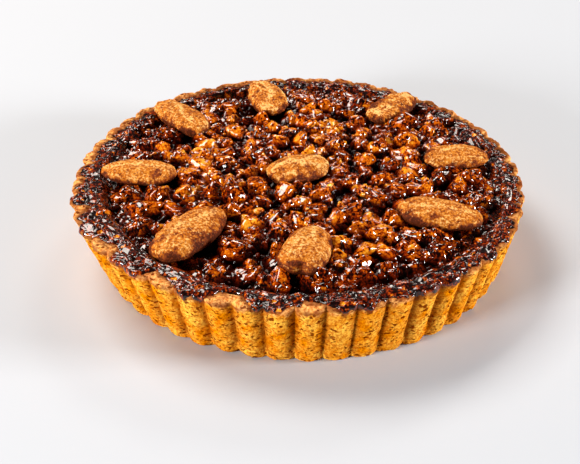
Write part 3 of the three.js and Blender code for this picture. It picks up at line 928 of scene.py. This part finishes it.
def add(tree, kind, inputs=None, output=0, stops=(), **settings):
    """Adds a shader node with its settings and gives one of its outputs. An input is a number, a
    colour or the output to link, and stops are the places and colours of a colour ramp."""
    node = tree.nodes.new("ShaderNode" + kind)
    for key, value in settings.items():
        setattr(node, key, value)
    for key, value in (inputs or {}).items():
        if isinstance(value, bpy.types.NodeSocket):
            tree.links.new(value, node.inputs[key])
        else:
            node.inputs[key].default_value = value
    for _ in stops[2:]:
        node.color_ramp.elements.new(0.5)
    for index, (place, colour) in enumerate(stops):
        node.color_ramp.elements[index].position = place
        node.color_ramp.elements[index].color = rgba(colour)
    return node.outputs[output] if node.outputs else None


def new_material(name):
    """A new material and its empty node tree."""
    material = bpy.data.materials.new(name)
    material.use_nodes = True
    material.node_tree.nodes.clear()
    return material, material.node_tree


def rgba(colour):
    return (*colour, 1.0)


def baked_shortcrust(look):
    """Shortcrust baked in a tin: butter pastry with dry, flat pores where fat melted out, golden
    where it lay against the tin, darkened in the valleys as painted shade, and stained brown where
    caramel soaked in.
    Matt all over."""
    material, tree = new_material("Baked_Shortcrust")
    place = add(tree, "TexCoord", output="Object")
    stain, toast, valley = (add(tree, "Attribute", output="Fac", attribute_name=mark)
                            for mark in ("stain", "toast", "valley"))
    patches, grain = (
        add(tree, "TexNoise", {"Vector": place, "Scale": 1 / (size * MM), "Detail": detail,
                               "Roughness": rough})
        for size, detail, rough in ((7, 4.0, 0.5), (1.1, 5.0, 0.65)))
    floury = add(tree, "MapRange", {"Value": grain, "From Min": 0.42, "From Max": 0.58})
    flat = add(tree, "Mapping", {"Vector": place, "Scale": (1, 1, 1.7)})
    pits = []
    for size in (3.2, 1.9):
        spots = add(tree, "TexNoise", {"Vector": flat, "Scale": 1 / (size * MM), "Detail": 1.5})
        pits.append(add(tree, "MapRange", {"Value": spots, "From Min": 0.38, "From Max": 0.31}))
    pit = add(tree, "Math", {0: pits[0], 1: pits[1]}, operation="MAXIMUM")

    baked = add(tree, "MapRange", {"Value": patches, "From Min": 0.35, "From Max": 0.65})
    surface = add(tree, "Mix", {"Factor": baked, "A": rgba(look.pale), "B": rgba(look.golden)},
                  "Result", data_type="RGBA")
    # The valley layer is painted shade in the flutes' valleys; the other layers are the pastry's
    # own colour.
    for where, share, tint in ((toast, 0.7, look.toasted), (floury, 0.78, look.brown),
                               (valley, 0.85, look.valley), (pit, 0.95, look.pore),
                               (stain, 0.8, look.stain)):
        amount = add(tree, "Math", {0: where, 1: share}, operation="MULTIPLY")
        surface = add(tree, "Mix", {"Factor": amount, "A": surface, "B": rgba(tint)},
                      "Result", data_type="RGBA")

    raised = add(tree, "Math", {0: grain, 1: 0.6}, operation="MULTIPLY")
    height = add(tree, "Math", {0: raised, 1: pit}, operation="SUBTRACT")
    bump = add(tree, "Bump", {"Height": height, "Strength": 0.9, "Distance": 0.35 * MM})
    shader = add(tree, "BsdfPrincipled", {
        "Base Color": surface, "Roughness": 0.9, "Specular IOR Level": 0.0, "Normal": bump})
    add(tree, "OutputMaterial", {"Surface": shader})
    return material


FILMS = {  # roughness and IOR of the coat, specular level under it, strength of the seams
    "Glazed_Pecan": (0.01, 1.63, 0.0, 1.0),
    "Boiled_Over_Caramel": (0.02, 1.45, 0.06, 0.8),
}


def glazed(look, name):
    """Roasted pecan under a film of caramel: amber on cut faces, mahogany on the skin, and darker
    towards the bottom, partly where the film runs thick and partly as painted shade, with
    wandering seams between lumps darkened as painted shade, and fine specks. The film shines, with
    its coat dimmed low down as painted shade, and where it boiled over and dried it is a little
    duller."""
    coat_roughness, coat_ior, specular, seam_share = FILMS[name]
    material, tree = new_material(name)
    place = add(tree, "TexCoord", output="Object")
    tone, rise = (add(tree, "Attribute", output="Fac", attribute_name=mark)
                  for mark in ("tone", "rise"))
    mottle, fine, speck = (
        add(tree, "TexNoise", {"Vector": place, "Scale": 1 / (size * MM), "Detail": detail,
                               "Roughness": rough})
        for size, detail, rough in ((2.2, 5.0, 0.6), (1.6, 1.0, 0.5), (0.9, 1.0, 0.5)))

    warp = add(tree, "TexNoise", {"Vector": place, "Scale": 1 / (2.5 * MM)}, "Color")
    bent = add(tree, "VectorMath", {0: warp, 1: (3 * MM,) * 3, 2: place},
               operation="MULTIPLY_ADD")
    lumps = add(tree, "TexVoronoi", {"Vector": bent, "Scale": 1 / (3.6 * MM)},
                feature="DISTANCE_TO_EDGE")
    # Painted shade along the seams between lumps: the crease darkens the tone as well as sinking
    # the bump.
    seam = add(tree, "MapRange",
               {"Value": lumps, "From Min": 0.1, "From Max": 0.02, "To Max": seam_share})
    patchy = add(tree, "MapRange", {"Value": mottle, "From Min": 0.62, "From Max": 0.42})
    crease = add(tree, "Math", {0: seam, 1: patchy}, operation="MULTIPLY")

    mottled = add(tree, "Math", {0: mottle, 1: 1.3, 2: -1.1}, operation="MULTIPLY_ADD")
    specked = add(tree, "Math", {0: mottled, 1: speck}, operation="ADD")
    creased = add(tree, "Math", {0: crease, 1: -0.4, 2: specked}, operation="MULTIPLY_ADD")
    varied = add(tree, "Math", {0: tone, 1: creased}, operation="ADD")
    # Painted shade, with some pooling: the rise mark darkens the tone low down.
    tone_pooled_and_shaded = add(tree, "Math", {0: varied, 1: rise}, operation="MULTIPLY")
    surface = add(tree, "ValToRGB", {"Fac": tone_pooled_and_shaded}, stops=[
        (0.0, look.deep), (0.22, look.mahogany), (0.48, look.russet), (0.72, look.amber),
        (1.0, look.honey)])

    crests = add(tree, "TexNoise", {"Vector": place, "Scale": 1 / (3 * MM), "Detail": 1.0},
                 noise_type="RIDGED_MULTIFRACTAL")
    crested = add(tree, "Math", {0: crests, 1: 0.35, 2: fine}, operation="MULTIPLY_ADD")
    relief = add(tree, "Math", {0: crease, 1: -0.5, 2: crested}, operation="MULTIPLY_ADD")
    bump = add(tree, "Bump", {"Height": relief, "Strength": 0.1, "Distance": 0.5 * MM})
    # Painted shade on the reflection: the coat is dimmed where the rise mark is low, in the gaps
    # and at the foot of pieces.
    coat_dimmed_as_shade = add(tree, "MapRange",
              {"Value": rise, "From Min": 0.1, "From Max": 0.6, "To Min": 0.15})
    shader = add(tree, "BsdfPrincipled", {
        "Base Color": surface, "Roughness": 0.42, "Specular IOR Level": specular,
        "Coat Weight": coat_dimmed_as_shade, "Coat Roughness": coat_roughness, "Coat IOR": coat_ior,
        "Normal": bump, "Coat Normal": bump})
    add(tree, "OutputMaterial", {"Surface": shader})
    return material


def candied_pecan(look):
    """Pecan tossed in boiling sugar until it dried and turned grainy: tan sugar, cream where it
    caked in streaks, browner at the ends, darker at the sides and underside as painted shade, with
    burnt flecks, dents down to the skin and a pale crystal here and there. Matt, with a granular
    touch."""
    material, tree = new_material("Candied_Pecan")
    place = add(tree, "TexCoord", output="Object")
    streak, brown = (add(tree, "Attribute", output="Fac", attribute_name=mark)
                     for mark in ("streak", "brown"))
    grain, skin, speck = (
        add(tree, "TexNoise", {"Vector": place, "Scale": 1 / (size * MM), "Detail": detail,
                               "Roughness": rough})
        for size, detail, rough in ((1.1, 4.0, 0.6), (3.5, 3.0, 0.5), (0.9, 1.0, 0.5)))

    # The brown mark darkens the sugar: browning at the ends and in patches, painted shade on the
    # sides and underside.
    browned = add(tree, "Math", {0: brown, 1: -0.62, 2: skin}, operation="MULTIPLY_ADD")
    grained = add(tree, "Math", {0: grain, 1: 1.5, 2: browned}, operation="MULTIPLY_ADD")
    streaked = add(tree, "Math", {0: streak, 1: 0.22, 2: grained}, operation="MULTIPLY_ADD")
    tone = add(tree, "MapRange", {"Value": streaked, "From Min": 0.7, "From Max": 1.55})
    surface = add(tree, "ValToRGB", {"Fac": tone}, stops=[
        (0.0, look.fleck), (0.25, look.skin), (0.55, look.sugar), (0.85, look.pale_sugar)])
    caking = add(tree, "Math", {0: streak, 1: 0.2, 2: grain}, operation="MULTIPLY_ADD")
    clean = add(tree, "Math", {0: brown, 1: -0.22, 2: caking}, operation="MULTIPLY_ADD")
    bright = add(tree, "Math", {0: brown, 1: -0.14, 2: speck}, operation="MULTIPLY_ADD")
    for where, none, full, share, tint in (
            (clean, 0.55, 0.68, 0.9, look.cream), (caking, 0.4, 0.3, 0.7, look.fleck),
            (speck, 0.42, 0.34, 0.75, look.skin), (bright, 0.59, 0.69, 0.6, look.cream)):
        amount = add(tree, "MapRange",
                     {"Value": where, "From Min": none, "From Max": full, "To Max": share})
        surface = add(tree, "Mix", {"Factor": amount, "A": surface, "B": rgba(tint)},
                      "Result", data_type="RGBA")

    height = add(tree, "Math", {0: speck, 1: 1.5, 2: grain}, operation="MULTIPLY_ADD")
    bump = add(tree, "Bump", {"Height": height, "Strength": 0.9, "Distance": 0.35 * MM})
    shader = add(tree, "BsdfPrincipled", {
        "Base Color": surface, "Roughness": 0.6, "Specular IOR Level": 0.05, "Normal": bump})
    add(tree, "OutputMaterial", {"Surface": shader})
    return material


def matt_paint(look):
    """Matt pale grey paint on a studio floor: plain and even."""
    material, tree = new_material("Matt_Paint")
    shader = add(tree, "BsdfPrincipled", {
        "Base Color": rgba(look.floor), "Roughness": 0.7, "Specular IOR Level": 0.2})
    add(tree, "OutputMaterial", {"Surface": shader})
    return material


# ---- Properties ----

def length(name, millimetres, description):
    return bpy.props.FloatProperty(name=name, description=description, default=millimetres * MM,
                                   min=0.0, unit="LENGTH", subtype="DISTANCE", precision=4)


def colour(name, hex_colour, description):
    return bpy.props.FloatVectorProperty(name=name, description=description, size=3, min=0, max=1,
                                         default=linear(hex_colour), subtype="COLOR")


def power(name, watts, description):
    return bpy.props.FloatProperty(name=name, description=description, default=watts, min=0,
                                   unit="POWER")


class TartCase(bpy.types.PropertyGroup):
    """Sizes and colours of the shortcrust case"""

    rim_radius: length("Rim radius", 100, "From the axis to the flutes' crests at the rim")
    base_radius: length("Base radius", 92, "From the axis to the flutes' crests at the base")
    height: length("Height", 31, "Mean height of the rim")
    flutes: bpy.props.IntProperty(name="Flutes", description="Flutes round the case", default=50,
                                  min=8)
    flute_depth: length("Flute depth", 2.1, "From a crest to the valley beside it")
    wall: length("Wall", 7, "From the crests to the filling")
    floor: length("Floor", 6, "Thickness of the pastry base")
    pale: colour("Pale", "#fabe46", "Pastry that took the least heat")
    golden: colour("Golden", "#e88c04", "Pastry baked against the tin")
    # Painted shade: the colour laid into the flutes' valleys.
    brown: colour("Grain", "#b45200", "Fine grain of browned flour")
    valley: colour("Valley", "#8c3e00", "Pastry deep in the flutes' valleys")
    toasted: colour("Toasted", "#ffc07c", "The top of the wall")
    pore: colour("Pore", "#702800", "Bottoms of the pores")
    stain: colour("Stain", "#7a3a1c", "Pastry that caramel soaked into")


class TartFilling(bpy.types.PropertyGroup):
    """Colours of the caramel and the chopped pecans"""

    edge: bpy.props.IntProperty(name="Edge pieces", default=150, min=0,
                                description="Pieces of four to eight millimetres by the rim")
    small: bpy.props.IntProperty(name="Small pieces", default=260, min=0,
                                 description="Pieces of three to five millimetres in the gaps")
    bits: bpy.props.IntProperty(name="Bits", default=450, min=0,
                                description="Bits of one and a half to three millimetres")
    crumbs: bpy.props.IntProperty(name="Crumbs", default=600, min=0,
                                  description="Crumbs of about a millimetre")
    deep: colour("Deep caramel", "#120100", "Caramel where it is thick")
    mahogany: colour("Mahogany", "#741c00", "Skin under thick film")
    russet: colour("Russet", "#c45a04", "Skin under thin film")
    amber: colour("Amber", "#e4901a", "Cut face under thin film")
    honey: colour("Honey", "#f6ae3c", "Bare cut face")


class TartPecans(bpy.types.PropertyGroup):
    """Colours of the candied pecans"""

    sugar: colour("Sugar", "#b66214", "Grainy caramelised sugar")
    pale_sugar: colour("Pale sugar", "#ce802a", "Sugar that took less heat")
    cream: colour("Cream", "#f6be74", "Sugar caked in streaks")
    skin: colour("Skin", "#783416", "Roasted skin that shows through")
    fleck: colour("Fleck", "#4a1e0c", "Burnt flecks")


class TartStage(bpy.types.PropertyGroup):
    """Floor, lights and camera"""

    floor: colour("Floor", "#c0c4ca", "The studio floor")
    distance: length("Camera distance", 455.69, "From the axis forwards to the camera")
    height: length("Camera height", 306.12, "From the floor to the camera")
    key: power("Key light", 24.5, "Soft box behind on the left")
    glint: power("Glint light", 4.8, "Small lamp behind, which makes the glints")
    left: power("Left light", 29, "Low soft box in front on the left")
    right: power("Right light", 31, "Low soft box on the right")


# ---- Operators ----

class TART_OT_case(bpy.types.Operator):
    """Make the fluted shortcrust case"""

    bl_idname = "tart.make_case"
    bl_label = "Case"

    def execute(self, context):
        case = in_mm(context.scene.tart_case)
        add_piece("shortcrust_case", case_surface(case), baked_shortcrust(case),
                  ["crust"])
        return {"FINISHED"}


class TART_OT_filling(bpy.types.Operator):
    """Make the caramel, the chopped pecans in it and the crumbs"""

    bl_idname = "tart.make_filling"
    bl_label = "Filling"

    def execute(self, context):
        case = in_mm(context.scene.tart_case)
        look = in_mm(context.scene.tart_filling)
        rng = np.random.default_rng(SEED)
        nut, boiled = glazed(look, "Glazed_Pecan"), glazed(look, "Boiled_Over_Caramel")

        centres, halves, turns, kind = large_nuts(case)
        top, tone = heap_map(case, (centres, halves, turns), rng)
        add_piece("fused_nut_heap", bed_surface(case, top, tone), nut,
                  ["filling"])
        add_piece("caramel_lip", lip_surface(case, *lip_map(rng)), boiled,
                  ["filling"])

        sunk = centres - (0, 0, NUTS_SUNK)
        whole = (kind > WHOLE_FROM) & ~under_pecan(centres[:, 0], centres[:, 1], 2)
        spots = sunk[whole], halves[whole] * 0.8, turns[whole]
        cut_pieces("chopped_pecan_pieces", nut, case, spots, rng, splits=3, roughness=0.05,
                   tones=(0.2, 0.6))
        spots = clotted(sunk, halves, turns, rng)
        cut_pieces("glazed_pecan_pieces", nut, case, spots, rng, splits=2, roughness=0.05,
                   tones=(0.1, 0.54))
        for name, prop, lengths, reach, tones in LOOSE_PIECES:
            spots = strewn_bits(case, top, getattr(look, prop), lengths, reach, rng)
            cut_pieces(name, nut, case, spots, rng, splits=1, roughness=0.1, tones=tones)
        return {"FINISHED"}


class TART_OT_pecans(bpy.types.Operator):
    """Make the nine candied pecans"""

    bl_idname = "tart.make_candied_pecans"
    bl_label = "Candied pecans"

    def execute(self, context):
        material = candied_pecan(in_mm(context.scene.tart_pecans))
        for index in range(len(PECANS)):
            add_piece(f"candied_pecan_{index + 1}", pecan_surface(index), material,
                      [f"pecan_{index + 1}"])
        return {"FINISHED"}


# Degrees that the camera looks to the right, looks down and is rolled counterclockwise.
CAMERA_PAN, CAMERA_TILT, CAMERA_ROLL = -0.654, 33.769, 0.625
FRAME_WIDTH, FOCAL_LENGTH, SENSOR = 580, 1183.1, 36.0  # pixels, pixels, millimetres
FLOOR_REACH, FLOOR_Z = 3.0, -0.0002  # metres, a hair under the tart
AIR_COLOUR, AIR_STRENGTH = (1.0, 0.97, 0.93, 1.0), 0.03
AIM = Vector((0.0, 0.0, 0.02))
WARM, WHITE = (1.0, 0.92, 0.84), (1.0, 1.0, 1.0)
LIGHTS = [  # property, place, width and height in metres, colour
    ("key", (-0.7, 0.6, 1.2), (0.85, 0.65), WARM),
    ("glint", (0.3, 1.1, 0.9), (0.4, 0.25), WARM),
    ("left", (-1.1, -0.9, 0.4), (0.36, 0.3), WHITE),
    ("right", (1.4, -0.2, 0.36), (0.36, 0.3), WHITE),
]


class TART_OT_stage(bpy.types.Operator):
    """Make the floor, the lights and the camera"""

    bl_idname = "tart.make_stage"
    bl_label = "Stage"

    def execute(self, context):
        scene, look = context.scene, context.scene.tart_stage
        mesh = bpy.data.meshes.new("studio_floor")
        corners = [(-1, -1), (1, -1), (1, 1), (-1, 1)]
        mesh.from_pydata([(x * FLOOR_REACH, y * FLOOR_REACH, FLOOR_Z) for x, y in corners], [],
                         [(0, 1, 2, 3)])
        mesh.materials.append(matt_paint(look))
        floor = bpy.data.objects.new("studio_floor", mesh)
        scene.collection.objects.link(floor)

        for name, place, (width, height), tint in LIGHTS:
            light = bpy.data.lights.new(f"{name}_light", "AREA")
            light.shape, light.size, light.size_y = "RECTANGLE", width, height
            light.energy = getattr(look, name)
            light.color = tint
            lamp = bpy.data.objects.new(f"{name}_light", light)
            lamp.location = place
            lamp.rotation_euler = (AIM - Vector(place)).to_track_quat("-Z", "Y").to_euler()
            scene.collection.objects.link(lamp)

        world = bpy.data.worlds.new("studio_air")
        world.use_nodes = True
        air = world.node_tree.nodes["Background"].inputs
        air["Color"].default_value, air["Strength"].default_value = AIR_COLOUR, AIR_STRENGTH
        scene.world = world
        scene.view_settings.view_transform = "Standard"

        camera = bpy.data.objects.new("camera", bpy.data.cameras.new("camera"))
        camera.data.sensor_width = SENSOR
        camera.data.lens = SENSOR * FOCAL_LENGTH / FRAME_WIDTH
        turn = (Matrix.Rotation(np.radians(-CAMERA_PAN), 4, "Z")
                @ Matrix.Rotation(np.radians(90 - CAMERA_TILT), 4, "X")
                @ Matrix.Rotation(np.radians(CAMERA_ROLL), 4, "Z"))
        camera.matrix_world = Matrix.Translation((0, -look.distance, look.height)) @ turn
        scene.collection.objects.link(camera)
        scene.camera = camera
        return {"FINISHED"}


class TART_PT_panel(bpy.types.Panel):
    """Pecan tart"""

    bl_idname = "TART_PT_panel"
    bl_label = "Pecan tart"
    bl_space_type = "VIEW_3D"
    bl_region_type = "UI"
    bl_category = "Tart"

    def draw(self, context):
        for group, operator in zip(GROUPS, OPERATORS):
            box = self.layout.box()
            for name in getattr(context.scene, group).__annotations__:
                box.prop(getattr(context.scene, group), name)
            box.operator(operator.bl_idname)


GROUPS = {"tart_case": TartCase, "tart_filling": TartFilling, "tart_pecans": TartPecans,
          "tart_stage": TartStage}
OPERATORS = (TART_OT_case, TART_OT_filling, TART_OT_pecans, TART_OT_stage)
CLASSES = (*GROUPS.values(), *OPERATORS, TART_PT_panel)


def register():
    for cls in CLASSES:
        bpy.utils.register_class(cls)
    for name, group in GROUPS.items():
        setattr(bpy.types.Scene, name, bpy.props.PointerProperty(type=group))


def unregister():
    for name in GROUPS:
        delattr(bpy.types.Scene, name)
    for cls in reversed(CLASSES):
        bpy.utils.unregister_class(cls)


def main():
    register()
    bpy.ops.tart.make_case()
    bpy.ops.tart.make_filling()
    bpy.ops.tart.make_candied_pecans()
    bpy.ops.tart.make_stage()


if __name__ == "__main__":
    main()
